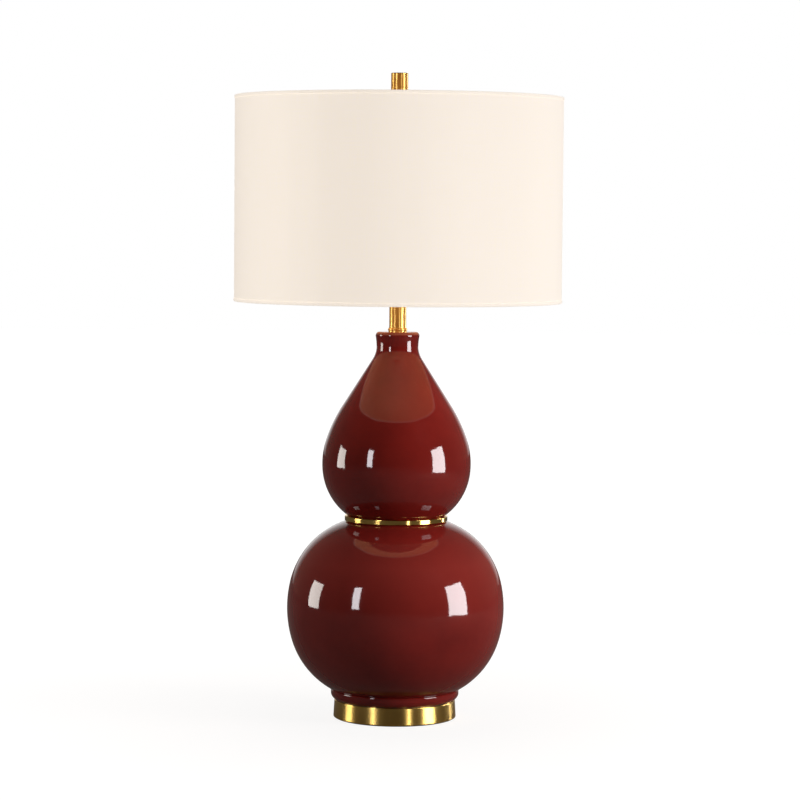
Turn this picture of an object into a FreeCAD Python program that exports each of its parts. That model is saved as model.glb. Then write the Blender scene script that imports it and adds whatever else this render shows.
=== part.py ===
import FreeCAD, Part
import math
import os
import re

import Sketcher

# Double gourd table lamp: a glazed stoneware body in two bulbs on a spun brass foot, with a
# brass ring at the waist, a brass neck tube, a harp and a linen drum shade under a finial.
# Millimetres. The origin is on the table, under the lamp's upright axis; +Z is up.

# ---------------------------------------------------------------- driving dimensions

SIZES = {
    # felt and spun foot
    "felt_thickness": 1.0,
    "felt_inset": 2.0,
    "foot_radius": 76.5,
    "foot_flare": 1.1,
    "foot_height": 22.2,
    "foot_wall": 1.2,
    "foot_edge": 1.3,
    "foot_lip": 6.5,
    "base_gasket_inset": 1.2,
    "base_gasket_width": 11.0,
    "gasket_thickness": 0.8,
    # ballast and the fastening under it
    "weight_gap": 14.5,
    "weight_edge": 2.0,
    "washer_radius": 14.0,
    "washer_thickness": 1.6,
    "nut_flats": 16.0,
    "nut_thickness": 3.2,
    "pipe_radius": 4.9,
    "pipe_bore_radius": 3.2,
    "pipe_fit": 0.1,
    "pipe_tail": 1.7,
    "pipe_floor_gap": 2.5,
    # cord inlet in the back of the foot
    "cord_height": 9.5,
    "bushing_bore_radius": 3.2,
    "bushing_wall": 1.0,
    "bushing_fit": 0.1,
    "bushing_flange": 1.0,
    "bushing_flange_thickness": 1.2,
    "bushing_seat_gap": 0.1,
    # lower bulb
    "ceramic_wall": 5.0,
    "flange_overhang": 4.4,
    "flange_undercut": 4.2,
    "flange_undercut_rise": 6.0,
    "flange_undercut_bend": 10.0,
    "flange_height": 11.9,
    "crease_inset": 1.0,
    "crease_rise": 1.5,
    "crease_bend": 2.0,
    "foot_ring_width": 21.8,
    "lower_radius": 135.3,
    "lower_side_bend": 140.5,
    "lower_base_bend": 103.5,
    "lower_shoulder_bend": 104.9,
    "lower_turn_down": 17.3,
    "lower_turn_up": 13.5,
    # waist
    "waist_radius": 59.8,
    "waist_rim_width": 7.0,
    "tenon_rise": 1.7,
    "waist_gasket_inset": 0.3,
    "waist_gap": 0.1,
    "waist_ring_fit": 0.5,
    "waist_ring_wall": 3.7,
    "waist_ring_edge": 0.8,
    "waist_web": 1.5,
    # upper bulb and neck
    "heel_lap": 0.8,
    "upper_radius": 92.5,
    "upper_side_bend": 94.2,
    "upper_base_bend": 77.0,
    "upper_shoulder_bend": 185.5,
    "upper_turn_down": 7.0,
    "upper_turn_up": 17.0,
    "cone_lean": 32.5,
    "neck_radius": 26.0,
    "neck_fillet": 30.0,
    "neck_rise": 12.4,
    "rim_flare": 1.25,
    "rim_round": 4.5,
    "neck_hole_gap": 1.6,
    # seating ring, neck tube and its collar
    "tube_radius": 10.45,
    "tube_wall": 1.0,
    "tube_length": 47.0,
    "tube_fit": 0.1,
    "ring_plate": 1.5,
    "ring_collar": 0.95,
    "ring_foot": 1.2,
    "ring_bead_height": 2.6,
    "ring_bead_swell": 0.65,
    "ring_height": 5.0,
    "ring_lip": 0.35,
    "collar_plate": 1.5,
    "collar_depth": 3.0,
    # harp saddle
    "saddle_width": 13.0,
    "saddle_end": 4.5,
    "saddle_corner": 3.5,
    "saddle_strip": 1.6,
    "prong_height": 14.9,
    # harp
    "wire_radius": 1.6,
    "leg_offset": 28.5,
    "leg_gap": 0.3,
    "harp_height": 228.0,
    "harp_half_width": 57.0,
    "harp_straight_leg": 25.7,
    "harp_heel_bend": 40.0,
    "harp_widest_share": 0.52,
    "harp_shoulder_bend": 17.0,
    "harp_top_flat": 8.0,
    "sleeve_length": 22.0,
    "sleeve_wall": 1.3,
    "sleeve_fit": 0.1,
    "boss_radius": 5.5,
    "boss_height": 8.0,
    # swivel stud
    "stud_shank_radius": 2.5,
    "stud_fit": 0.1,
    "stud_head_radius": 4.2,
    "stud_head": 2.0,
    "stud_flange_radius": 8.0,
    "stud_flange": 2.0,
    "stud_radius": 3.1,
    "stud_length": 14.0,
    # lamp socket
    "socket_wall": 0.8,
    "cap_hub_wall": 2.3,
    "cap_hub_height": 6.0,
    "cap_radius": 17.2,
    "cap_dome_rise": 9.0,
    "cap_rim": 4.0,
    "shell_fit": 0.1,
    "shell_lap": 3.6,
    "shell_wall": 0.6,
    "shell_height": 38.0,
    "shell_bead_height": 3.0,
    "shell_bead_swell": 0.6,
    "liner_wall": 0.6,
    "liner_inset": 1.0,
    "interior_height": 16.0,
    "screw_shell_radius": 13.6,
    "screw_shell_wall": 0.5,
    "screw_shell_height": 19.5,
    "contact_radius": 3.5,
    "contact_height": 2.0,
    "terminal_seat": 11.6,
    "terminal_seat_height": 8.0,
    "terminal_head_radius": 3.0,
    "terminal_head": 1.7,
    "terminal_shank_radius": 1.5,
    "terminal_depth": 5.0,
    "terminal_fit": 0.1,
    # turn switch
    "shaft_radius": 2.2,
    "shaft_fit": 0.1,
    "shaft_window_gap": 0.8,
    "shaft_start": 6.0,
    "shaft_bore_gap": 0.5,
    "knob_standoff": 4.0,
    "knob_radius": 6.5,
    "knob_length": 13.0,
    "knob_edge": 1.2,
    "knob_socket_depth": 7.0,
    "knob_flutes": 12,
    "knob_flute_radius": 0.8,
    # bulb
    "bulb_seat_gap": 0.3,
    "bulb_fit": 0.4,
    "bulb_contact_radius": 4.5,
    "bulb_contact_height": 1.6,
    "insulator_height": 4.4,
    "thread_root": 0.9,
    "thread_pitch": 3.6,
    "thread_turns": 5,
    "cap_shoulder": 2.5,
    "bulb_glass_wall": 0.7,
    "bulb_neck_gap": 0.15,
    "bulb_cap_wall": 0.4,
    "bulb_radius": 24.0,
    "bulb_flare_bend": 42.6,
    # drum shade
    "shade_radius": 203.2,
    "shade_height": 254.0,
    "shade_recess": 11.2,
    "fabric_thickness": 0.6,
    "liner_thickness": 0.5,
    "glue_gap": 0.1,
    "hem_thickness": 0.4,
    "hem_gap": 0.1,
    "hem_depth": 3.5,
    "hem_top_lap": 0.8,
    "ring_wire_radius": 1.5,
    # spider fitter
    "spider_hub_lap": 2.0,
    "spider_hub_thickness": 1.9,
    "spider_hub_fit": 0.2,
    "spider_arms": 3,
    "arm_radius": 1.4,
    "arm_clearance": 0.8,
    "arm_rise_run": 34.0,
    "arm_drop": 0.8,
    # finial
    "finial_radius": 10.55,
    "finial_height": 38.3,
    "finial_edge": 1.0,
    "finial_fit": 0.1,
    "finial_depth_gap": 1.5,
}

# ---------------------------------------------------------------- places worked out from them

# Heights are above the table unless the name belongs to one piece; hubs are arc centres.
PLACES = {
    "foot_rim_radius": "foot_radius - foot_flare",
    "foot_top": "felt_thickness + foot_height",
    "nut_room": "washer_thickness + nut_thickness + pipe_tail + pipe_floor_gap",
    "weight_base": "felt_thickness + nut_room",
    "weight_thickness": "foot_height - foot_wall - nut_room",
    "washer_base": "weight_base - washer_thickness",
    "foot_nut_base": "washer_base - nut_thickness",
    "pipe_base": "foot_nut_base - pipe_tail",
    "pipe_hole_radius": "pipe_radius + pipe_fit",
    "lower_base": "foot_top + gasket_thickness",
    # cord inlet
    "inlet_height": "felt_thickness + cord_height",
    "bushing_barrel_radius": "bushing_bore_radius + bushing_wall",
    "bushing_flange_radius": "bushing_barrel_radius + bushing_flange",
    "foot_slope": "foot_flare / foot_height",
    "bushing_outer_seat": "foot_radius - foot_slope * (cord_height - bushing_flange_radius)"
                          " + bushing_seat_gap",
    "bushing_inner_seat": "foot_radius - foot_wall - foot_slope * (cord_height"
                          " + bushing_flange_radius) - bushing_flange_radius ^ 2 / foot_radius"
                          " - bushing_seat_gap",
    "bushing_grip": "bushing_outer_seat - bushing_inner_seat",
    # lower bulb, above its own foot
    "flange_radius": "foot_rim_radius + flange_overhang",
    "crease_radius": "flange_radius - crease_inset",
    "lower_mouth_radius": "flange_radius - foot_ring_width",
    "lower_side_hub": "lower_radius - lower_side_bend",
    "lower_base_hub": "lower_side_hub + (lower_side_bend - lower_base_bend)"
                      " * cos(lower_turn_down)",
    "lower_base_sink": "(lower_side_bend - lower_base_bend) * sin(lower_turn_down)",
    "lower_shoulder_hub": "lower_side_hub + (lower_side_bend - lower_shoulder_bend)"
                          " * cos(lower_turn_up)",
    "lower_shoulder_lift": "(lower_side_bend - lower_shoulder_bend) * sin(lower_turn_up)",
    "lower_equator": "flange_height + lower_base_sink"
                     " + sqrt(lower_base_bend ^ 2 - (crease_radius - lower_base_hub) ^ 2)",
    "lower_neck": "lower_equator + lower_shoulder_lift"
                  " + sqrt(lower_shoulder_bend ^ 2 - (waist_radius - lower_shoulder_hub) ^ 2)",
    "lower_height": "lower_neck + tenon_rise",
    # waist
    "waist_mouth_radius": "waist_radius - waist_rim_width",
    "waist_gasket_base": "lower_base + lower_height",
    "web_base": "waist_gasket_base + gasket_thickness",
    "band_drop": "tenon_rise + gasket_thickness - waist_gap",
    "band_radius": "waist_radius + waist_ring_fit",
    "upper_gasket_base": "web_base + waist_web",
    "upper_base": "upper_gasket_base + gasket_thickness",
    # upper bulb, above its own foot
    "heel_radius": "waist_radius + heel_lap",
    "upper_side_hub": "upper_radius - upper_side_bend",
    "upper_base_hub": "upper_side_hub + (upper_side_bend - upper_base_bend)"
                      " * cos(upper_turn_down)",
    "upper_base_sink": "(upper_side_bend - upper_base_bend) * sin(upper_turn_down)",
    "upper_equator": "tenon_rise + upper_base_sink"
                     " + sqrt(upper_base_bend ^ 2 - (heel_radius - upper_base_hub) ^ 2)",
    "upper_shoulder_hub": "upper_side_hub - (upper_shoulder_bend - upper_side_bend)"
                          " * cos(upper_turn_up)",
    "upper_shoulder_sink": "(upper_shoulder_bend - upper_side_bend) * sin(upper_turn_up)",
    "cone_foot_radius": "upper_shoulder_hub + upper_shoulder_bend * cos(cone_lean)",
    "cone_foot": "upper_equator - upper_shoulder_sink + upper_shoulder_bend * sin(cone_lean)",
    "neck_waist": "cone_foot + (cone_foot_radius - neck_radius) / tan(cone_lean)"
                  " + neck_fillet * tan(cone_lean / 2)",
    "rim_start": "neck_waist + neck_rise",
    "rim_start_radius": "neck_radius + rim_flare",
    "rim_turn": "2 * atan(rim_flare / neck_rise)",
    "neck_flare_bend": "(neck_rise ^ 2 + rim_flare ^ 2) / (2 * rim_flare)",
    "upper_height": "rim_start + rim_round * (1 + sin(rim_turn))",
    "neck_top": "upper_base + upper_height",
    # column above the neck
    "tube_base": "neck_top + ring_plate",
    "collar_base": "tube_base + tube_length",
    "saddle_base": "collar_base + collar_plate",
    "saddle_top": "saddle_base + saddle_strip",
    "socket_base": "saddle_top + nut_thickness",
    "pipe_top": "socket_base + cap_hub_height",
    "seat_height": "saddle_top + harp_height",
    # harp, above the ends of its legs
    "harp_base": "saddle_top + prong_height + leg_gap",
    "harp_rise": "harp_height - prong_height - leg_gap - stud_flange - stud_fit"
                 " - boss_height / 2",
    "harp_widest": "harp_straight_leg + (harp_rise - harp_straight_leg) * harp_widest_share",
    "flare_turn": "2 * atan((harp_half_width - leg_offset) / (harp_widest - harp_straight_leg))",
    "flare_sum": "(harp_widest - harp_straight_leg) / sin(flare_turn)",
    "crown_reach": "harp_half_width - harp_top_flat",
    "crown_rise": "harp_rise - harp_widest - harp_shoulder_bend",
    "crown_bend": "(crown_rise ^ 2 + crown_reach ^ 2 - harp_shoulder_bend ^ 2)"
                  " / (2 * (crown_reach - harp_shoulder_bend))",
    "crown_turn": "atan(crown_rise / (crown_bend - crown_reach))",
    "sleeve_bore_radius": "wire_radius + sleeve_fit",
    # socket
    "cap_hub_radius": "pipe_radius + cap_hub_wall",
    "cap_height": "cap_hub_height + cap_dome_rise + cap_rim",
    "shell_radius": "cap_radius - socket_wall - shell_fit",
    "shell_base": "socket_base + cap_height - shell_lap",
    "liner_radius": "shell_radius - shell_wall - shell_fit",
    "interior_radius": "liner_radius - liner_wall - shell_fit",
    "interior_base": "shell_base + liner_inset",
    "interior_top": "interior_base + interior_height",
    "switch_rise": "interior_height / 2",
    "switch_height": "interior_base + switch_rise",
    "window_radius": "shaft_radius + shaft_window_gap",
    "knob_start": "shell_radius + shell_bead_swell + knob_standoff",
    "shaft_length": "knob_start + knob_socket_depth - shaft_fit - shaft_start",
    # bulb, above its tip
    "bulb_base": "interior_top + contact_height + bulb_seat_gap",
    "bulb_cap_radius": "screw_shell_radius - bulb_fit",
    "cap_foot": "bulb_contact_height + insulator_height",
    "cap_top": "cap_foot + thread_pitch * thread_turns + cap_shoulder",
    "bulb_neck_radius": "bulb_cap_radius - thread_root - bulb_cap_wall - bulb_neck_gap",
    "bulb_flare_hub": "bulb_neck_radius + bulb_flare_bend",
    "bulb_centre": "cap_top + sqrt((bulb_flare_bend + bulb_radius) ^ 2 - bulb_flare_hub ^ 2)",
    "bulb_join_radius": "bulb_flare_hub * bulb_radius / (bulb_flare_bend + bulb_radius)",
    "bulb_join": "bulb_centre - (bulb_centre - cap_top) * bulb_radius"
                 " / (bulb_flare_bend + bulb_radius)",
    # shade, above its lower edge
    "shade_base": "seat_height + shade_recess - shade_height",
    "hem_inset": "hem_thickness + hem_gap",
    "hem_radius": "shade_radius + hem_gap",
    "skin_radius": "shade_radius - fabric_thickness - glue_gap",
    "wire_ring_radius": "skin_radius - liner_thickness - glue_gap - ring_wire_radius",
    "hem_inner_radius": "wire_ring_radius - ring_wire_radius - hem_gap",
    "wire_ring_inset": "hem_inset + ring_wire_radius",
    # spider, above the seat
    "spider_bore_radius": "stud_radius + spider_hub_fit",
    "spider_hub_radius": "finial_radius + spider_hub_lap",
    "arm_start": "finial_radius + arm_clearance",
    "spider_ring_height": "shade_recess - wire_ring_inset",
    "arm_end_height": "spider_ring_height - arm_drop",
    "arm_rise": "arm_end_height - arm_radius",
    "arm_bend": "(arm_rise_run ^ 2 + arm_rise ^ 2) / (4 * arm_rise)",
    "finial_base": "seat_height + spider_hub_thickness",
    "finial_depth": "stud_length - spider_hub_thickness + finial_depth_gap",
}

LEFT = 1
RIGHT = -1
FULL_TURN = 360.0
QUARTER_TURN = 90.0
HEX_SIDES = 6
HEX_CORNER = "2 * cos(30)"

# points of a sketch: its origin, and the ends and centre of a line or arc in it
ORIGIN = (-1, 1)
START = 1
END = 2
CENTRE = 3

doc = FreeCAD.newDocument("DoubleGourdLamp")
sheet = doc.addObject("Spreadsheet::Sheet", "Sizes")
nodes = []
side_cuts = []


def fill_sheet():
    """Write each driving dimension to a cell with its name as alias."""
    for row, (name, size) in enumerate(SIZES.items(), start=1):
        sheet.set(f"A{row}", name.replace("_", " "))
        sheet.set(f"B{row}", str(size))
        sheet.setAlias(f"B{row}", name)
    doc.recompute()


def bound(formula):
    """A formula with every name in it replaced by the cells it stands for."""
    def cells(match):
        word = match.group(0)
        if word in PLACES:
            return "(" + bound(PLACES[word]) + ")"
        if word in SIZES:
            return "Sizes." + word
        return word
    return re.sub(r"[a-z_]+", cells, formula)


def number(formula):
    """The value that a formula has now."""
    return float(sheet.evalExpression(bound(formula)))


def bind(thing, **formulas):
    """Bind an object's own sizes to formulas."""
    for size, formula in formulas.items():
        thing.setExpression(size, bound(formula))


def stand(thing, height):
    """Bind the height that a piece stands at."""
    thing.setExpression("Placement.Base.z", bound(height))


# ---------------------------------------------------------------- sketches and features

def stretch(start, end, corner):
    """Line or arc between two points, and the ends of it that meet them."""
    if len(corner) == 2:
        return Part.LineSegment(start, end), START, END
    side, bend = corner[2], number(corner[3])
    chord = end - start
    offset = math.sqrt(max(bend ** 2 - (chord.Length / 2) ** 2, 0.0))
    across = FreeCAD.Vector(-chord.y, chord.x, 0) * (side * offset / chord.Length)
    centre = (start + end) / 2 + across
    first, last = (start, end) if side == LEFT else (end, start)
    angles = [math.atan2(point.y - centre.y, point.x - centre.x) for point in (first, last)]
    circle = Part.Circle(centre, FreeCAD.Vector(0, 0, 1), bend)
    arc = Part.ArcOfCircle(circle, *angles)
    return (arc, START, END) if side == LEFT else (arc, END, START)


def locate(constraints, formulas, line, end, corner, point):
    """Fix a point of a sketch by its two coordinates."""
    for kind, formula, size in (("DistanceX", corner[0], point.x),
                                ("DistanceY", corner[1], point.y)):
        formulas[len(constraints)] = formula
        constraints.append(Sketcher.Constraint(kind, *ORIGIN, line, end, size))


def draw(sketch, outline, closed=True):
    """Draw an outline through its corners. A corner is its two coordinates; a side and a bend
    radius after them make the stretch that ends there an arc, turning to that side."""
    points = [FreeCAD.Vector(number(corner[0]), number(corner[1]), 0) for corner in outline]
    first = 0 if closed else 1
    constraints, formulas, stretches = [], {}, []
    for index in range(first, len(outline)):
        shape, tail, head = stretch(points[index - 1], points[index], outline[index])
        line = sketch.addGeometry(shape)
        stretches.append((line, tail, head))
        locate(constraints, formulas, line, head, outline[index], points[index])
        if len(outline[index]) > 2:
            formulas[len(constraints)] = outline[index][3]
            constraints.append(Sketcher.Constraint("Radius", line, number(outline[index][3])))
    pairs = list(zip(stretches, stretches[1:]))
    if closed:
        pairs.append((stretches[-1], stretches[0]))
    else:
        locate(constraints, formulas, stretches[0][0], stretches[0][1], outline[0], points[0])
    for before, after in pairs:
        constraints.append(
            Sketcher.Constraint("Coincident", before[0], before[2], after[0], after[1]))
    start = sketch.ConstraintCount
    sketch.addConstraint(constraints)
    for index, formula in formulas.items():
        sketch.setExpression(f"Constraints[{start + index}]", bound(formula))


def draw_circle(sketch, across, up, radius):
    """Draw a circle by its centre's coordinates and its radius."""
    centre = FreeCAD.Vector(number(across), number(up), 0)
    line = sketch.addGeometry(Part.Circle(centre, FreeCAD.Vector(0, 0, 1), number(radius)))
    constraints, formulas = [], {}
    locate(constraints, formulas, line, CENTRE, (across, up), centre)
    formulas[len(constraints)] = radius
    constraints.append(Sketcher.Constraint("Radius", line, number(radius)))
    start = sketch.ConstraintCount
    sketch.addConstraint(constraints)
    for index, formula in formulas.items():
        sketch.setExpression(f"Constraints[{start + index}]", bound(formula))


def new_body(label):
    """Empty body for one sub-part."""
    body = doc.addObject("PartDesign::Body", label)
    body.Label = label
    nodes.append(body)
    return body


def new_sketch(body, name, plane):
    """Sketch on one of the body's own planes."""
    sketch = body.newObject("Sketcher::SketchObject", f"{body.Label}_{name}")
    support = next(part for part in body.Origin.OriginFeatures if part.Role == plane)
    sketch.AttachmentSupport = [(support, "")]
    sketch.MapMode = "FlatFace"
    return sketch


def turn(body, name, outline, kind="Revolution"):
    """Turn an outline in the body's XZ plane once round its Z axis."""
    sketch = new_sketch(body, f"{name}_section", "XZ_Plane")
    draw(sketch, outline)
    feature = body.newObject(f"PartDesign::{kind}", f"{body.Label}_{name}")
    feature.Profile = sketch
    feature.ReferenceAxis = (sketch, ["V_Axis"])
    feature.Angle = FULL_TURN
    return feature


def turned(label, outline, height):
    """Sub-part turned from one outline, standing at a height."""
    body = new_body(label)
    turn(body, "turn", outline)
    stand(body, height)
    return body


def ring(inner, outer, low, high):
    """Rectangular section of a ring."""
    return [(inner, low), (outer, low), (outer, high), (inner, high)]


def sweep(body, name, section, path):
    """Sweep a section sketch along a path sketch."""
    feature = body.newObject("PartDesign::AdditivePipe", f"{body.Label}_{name}")
    feature.Profile = section
    feature.Spine = path
    return feature


def cut_side(body, name, up, radius, depth, towards_front=False, start="0"):
    """Round hole out through the back or the front, starting at a distance from the axis."""
    sketch = new_sketch(body, f"{name}_section", "XZ_Plane")
    draw_circle(sketch, "0", up, radius)
    sketch.setExpression("AttachmentOffset.Base.z", bound(start))
    feature = body.newObject("PartDesign::Pocket", f"{body.Label}_{name}")
    feature.Profile = sketch
    feature.Reversed = towards_front
    bind(feature, Length=depth)
    side_cuts.append(feature)
    return feature


def primitive(kind, name, height, **formulas):
    """Plain solid on the axis, standing at a height."""
    solid = doc.addObject(f"Part::{kind}", name)
    bind(solid, **formulas)
    stand(solid, height)
    return solid


def cut(name, base, tool):
    """One solid less another."""
    result = doc.addObject("Part::Cut", name)
    result.Base = base
    result.Tool = tool
    return result


def gathered(label, members):
    """Alike pieces that make one sub-part, as separate solids."""
    compound = doc.addObject("Part::Compound", label)
    compound.Label = label
    compound.Links = members
    nodes.append(compound)
    return compound


# ---------------------------------------------------------------- foot

def felt_pad():
    """Felt disc glued under the foot; the lamp rests on it."""
    radius = "foot_radius - felt_inset"
    return turned("felt_pad", ring("0", radius, "0", "felt_thickness"), "0")


def foot_shell():
    """Spun brass cup, mouth down, with a rolled lip, a pipe hole and a cord hole."""
    body = turned("foot_shell", [
        ("foot_radius - foot_lip", "0"),
        ("foot_radius - foot_edge", "0"),
        ("foot_radius", "foot_edge", LEFT, "foot_edge"),
        ("foot_rim_radius", "foot_height - foot_edge"),
        ("foot_rim_radius - foot_edge", "foot_height", LEFT, "foot_edge"),
        ("pipe_hole_radius", "foot_height"),
        ("pipe_hole_radius", "foot_height - foot_wall"),
        ("foot_rim_radius - foot_wall", "foot_height - foot_wall"),
        ("foot_radius - foot_wall", "foot_wall"),
        ("foot_radius - foot_lip", "foot_wall"),
    ], "felt_thickness")
    cut_side(body, "cord_hole", "cord_height", "bushing_barrel_radius + bushing_fit",
             "2 * foot_radius")
    return body


def weight_disc():
    """Cast iron ballast, clamped up against the foot's top."""
    radius = "(foot_radius - weight_gap)"
    return turned("weight_disc", [
        ("pipe_hole_radius", "0"),
        (f"{radius} - weight_edge", "0"),
        (radius, "weight_edge", LEFT, "weight_edge"),
        (radius, "weight_thickness - weight_edge"),
        (f"{radius} - weight_edge", "weight_thickness", LEFT, "weight_edge"),
        ("pipe_hole_radius", "weight_thickness"),
    ], "weight_base")


def foot_washer():
    """Steel washer between the ballast and the lower nut."""
    section = ring("pipe_hole_radius", "washer_radius", "0", "washer_thickness")
    return turned("foot_washer", section, "washer_base")


def lock_nuts():
    """Two alike hexagon nuts: under the ballast, and over the harp saddle."""
    nuts = []
    for place, height in (("foot", "foot_nut_base"), ("saddle", "saddle_top")):
        blank = primitive("Prism", f"{place}_nut_blank", height,
                          Circumradius=f"nut_flats / ({HEX_CORNER})", Height="nut_thickness")
        blank.Polygon = HEX_SIDES
        bore = primitive("Cylinder", f"{place}_nut_bore", height,
                         Radius="pipe_hole_radius", Height="nut_thickness")
        nuts.append(cut(f"{place}_nut", blank, bore))
    return gathered("lock_nuts", nuts)


def cord_bushing():
    """Snap-in bushing that lines the cord hole at the back of the foot."""
    flange_end = "bushing_grip + bushing_flange_thickness"
    body = turned("cord_bushing", [
        ("bushing_bore_radius", "-bushing_flange_thickness"),
        ("bushing_flange_radius", "-bushing_flange_thickness"),
        ("bushing_flange_radius", "0"),
        ("bushing_barrel_radius", "0"),
        ("bushing_barrel_radius", "bushing_grip"),
        ("bushing_flange_radius", "bushing_grip"),
        ("bushing_flange_radius", flange_end),
        ("bushing_bore_radius", flange_end),
    ], "inlet_height")
    body.Placement.Rotation = FreeCAD.Rotation(FreeCAD.Vector(1, 0, 0), -QUARTER_TURN)
    body.setExpression("Placement.Base.y", bound("bushing_inner_seat"))
    return body


def base_gasket():
    """Dark ring in the seam between the brass and the glazed foot."""
    outer = "foot_rim_radius - base_gasket_inset"
    section = ring(f"{outer} - base_gasket_width", outer, "0", "gasket_thickness")
    return turned("base_gasket", section, "foot_top")


# ---------------------------------------------------------------- glazed body

def side_point(bulb, turn_name, sign, skin):
    """End of a bulb's side arc, on its outer face or on its inner face."""
    bend = f"({bulb}_side_bend - {skin})"
    return (f"{bulb}_side_hub + {bend} * cos({turn_name})",
            f"{bulb}_equator {sign} {bend} * sin({turn_name})")


def lower_gourd():
    """Lower bulb: a hollow shell on a flanged foot ring, with a short tenon at the waist."""
    skin = "ceramic_wall"
    inner_mouth = (f"lower_equator + lower_shoulder_lift + sqrt((lower_shoulder_bend - {skin})"
                   " ^ 2 - (waist_mouth_radius - lower_shoulder_hub) ^ 2)")
    inner_foot = (f"lower_equator - lower_base_sink - sqrt((lower_base_bend - {skin}) ^ 2"
                  " - (lower_mouth_radius - lower_base_hub) ^ 2)")
    return turned("lower_gourd", [
        ("lower_mouth_radius", "0"),
        ("flange_radius - flange_undercut", "0"),
        ("flange_radius", "flange_undercut_rise", LEFT, "flange_undercut_bend"),
        ("flange_radius", "flange_height - crease_rise"),
        ("crease_radius", "flange_height", LEFT, "crease_bend"),
        (*side_point("lower", "lower_turn_down", "-", "0"), LEFT, "lower_base_bend"),
        (*side_point("lower", "lower_turn_up", "+", "0"), LEFT, "lower_side_bend"),
        ("waist_radius", "lower_neck", LEFT, "lower_shoulder_bend"),
        ("waist_radius", "lower_height"),
        ("waist_mouth_radius", "lower_height"),
        ("waist_mouth_radius", inner_mouth),
        (*side_point("lower", "lower_turn_up", "+", skin), RIGHT,
         f"lower_shoulder_bend - {skin}"),
        (*side_point("lower", "lower_turn_down", "-", skin), RIGHT,
         f"lower_side_bend - {skin}"),
        ("lower_mouth_radius", inner_foot, RIGHT, f"lower_base_bend - {skin}"),
    ], "lower_base")


def waist_gaskets():
    """Two alike rings between the brass web and the two glazed rims."""
    gaskets = []
    for place, height in (("lower", "waist_gasket_base"), ("upper", "upper_gasket_base")):
        blank = primitive("Cylinder", f"{place}_gasket_blank", height,
                          Radius="waist_radius - waist_gasket_inset",
                          Height="gasket_thickness")
        bore = primitive("Cylinder", f"{place}_gasket_bore", height,
                         Radius="waist_mouth_radius", Height="gasket_thickness")
        gaskets.append(cut(f"{place}_gasket", blank, bore))
    return gathered("waist_gaskets", gaskets)


def waist_ring():
    """Brass band round the waist, on a web that centres it on the pipe."""
    outer = "(band_radius + waist_ring_wall)"
    top = "(waist_web + band_drop)"
    return turned("waist_ring", [
        ("pipe_hole_radius", "0"),
        ("band_radius", "0"),
        ("band_radius", "-band_drop"),
        (f"{outer} - waist_ring_edge", "-band_drop"),
        (outer, "waist_ring_edge - band_drop", LEFT, "waist_ring_edge"),
        (outer, f"{top} - waist_ring_edge"),
        (f"{outer} - waist_ring_edge", top, LEFT, "waist_ring_edge"),
        ("band_radius", top),
        ("band_radius", "waist_web"),
        ("pipe_hole_radius", "waist_web"),
    ], "web_base")


def upper_gourd():
    """Upper bulb: a hollow shell that draws in to a short neck with a rounded rim."""
    skin = "ceramic_wall"
    fillet_hub = "(neck_radius + neck_fillet)"
    hole = "pipe_radius + neck_hole_gap"
    inner_foot = (f"upper_equator - upper_base_sink - sqrt((upper_base_bend - {skin}) ^ 2"
                  " - (waist_mouth_radius - upper_base_hub) ^ 2)")
    return turned("upper_gourd", [
        ("waist_mouth_radius", "0"),
        ("waist_radius", "0"),
        ("waist_radius", "tenon_rise"),
        ("heel_radius", "tenon_rise"),
        (*side_point("upper", "upper_turn_down", "-", "0"), LEFT, "upper_base_bend"),
        (*side_point("upper", "upper_turn_up", "+", "0"), LEFT, "upper_side_bend"),
        ("cone_foot_radius", "cone_foot", LEFT, "upper_shoulder_bend"),
        (f"{fillet_hub} - neck_fillet * cos(cone_lean)",
         "neck_waist - neck_fillet * sin(cone_lean)"),
        ("neck_radius", "neck_waist", RIGHT, "neck_fillet"),
        ("rim_start_radius", "rim_start", RIGHT, "neck_flare_bend"),
        ("rim_start_radius - rim_round * cos(rim_turn)", "upper_height", LEFT, "rim_round"),
        (hole, "upper_height"),
        (hole, f"upper_height - {skin}"),
        (f"neck_radius - {skin}", f"upper_height - {skin}"),
        (f"neck_radius - {skin}", "neck_waist"),
        (f"{fillet_hub} - (neck_fillet + {skin}) * cos(cone_lean)",
         f"neck_waist - (neck_fillet + {skin}) * sin(cone_lean)", LEFT,
         f"neck_fillet + {skin}"),
        (f"cone_foot_radius - {skin} * cos(cone_lean)", f"cone_foot - {skin} * sin(cone_lean)"),
        (*side_point("upper", "upper_turn_up", "+", skin), RIGHT,
         f"upper_shoulder_bend - {skin}"),
        (*side_point("upper", "upper_turn_down", "-", skin), RIGHT,
         f"upper_side_bend - {skin}"),
        ("waist_mouth_radius", inner_foot, RIGHT, f"upper_base_bend - {skin}"),
    ], "upper_base")


# ---------------------------------------------------------------- column

def lamp_pipe():
    """Steel pipe up the middle; the nuts and the socket cap clamp everything along it."""
    section = ring("pipe_bore_radius", "pipe_radius", "0", "pipe_top - pipe_base")
    return turned("lamp_pipe", section, "pipe_base")


def seating_ring():
    """Beaded brass cup that seats the neck tube on the glazed rim."""
    side = "(tube_radius + ring_collar)"
    bore = "(tube_radius + tube_fit)"
    bead_top = "ring_foot + ring_bead_height"
    bead_bend = "(ring_bead_height ^ 2 / 4 + ring_bead_swell ^ 2) / (2 * ring_bead_swell)"
    return turned("seating_ring", [
        ("pipe_hole_radius", "0"),
        (side, "0"),
        (side, "ring_foot"),
        (side, bead_top, LEFT, bead_bend),
        (f"{bore} + ring_lip", "ring_height"),
        (bore, "ring_height"),
        (bore, "ring_plate"),
        ("pipe_hole_radius", "ring_plate"),
    ], "neck_top")


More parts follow.
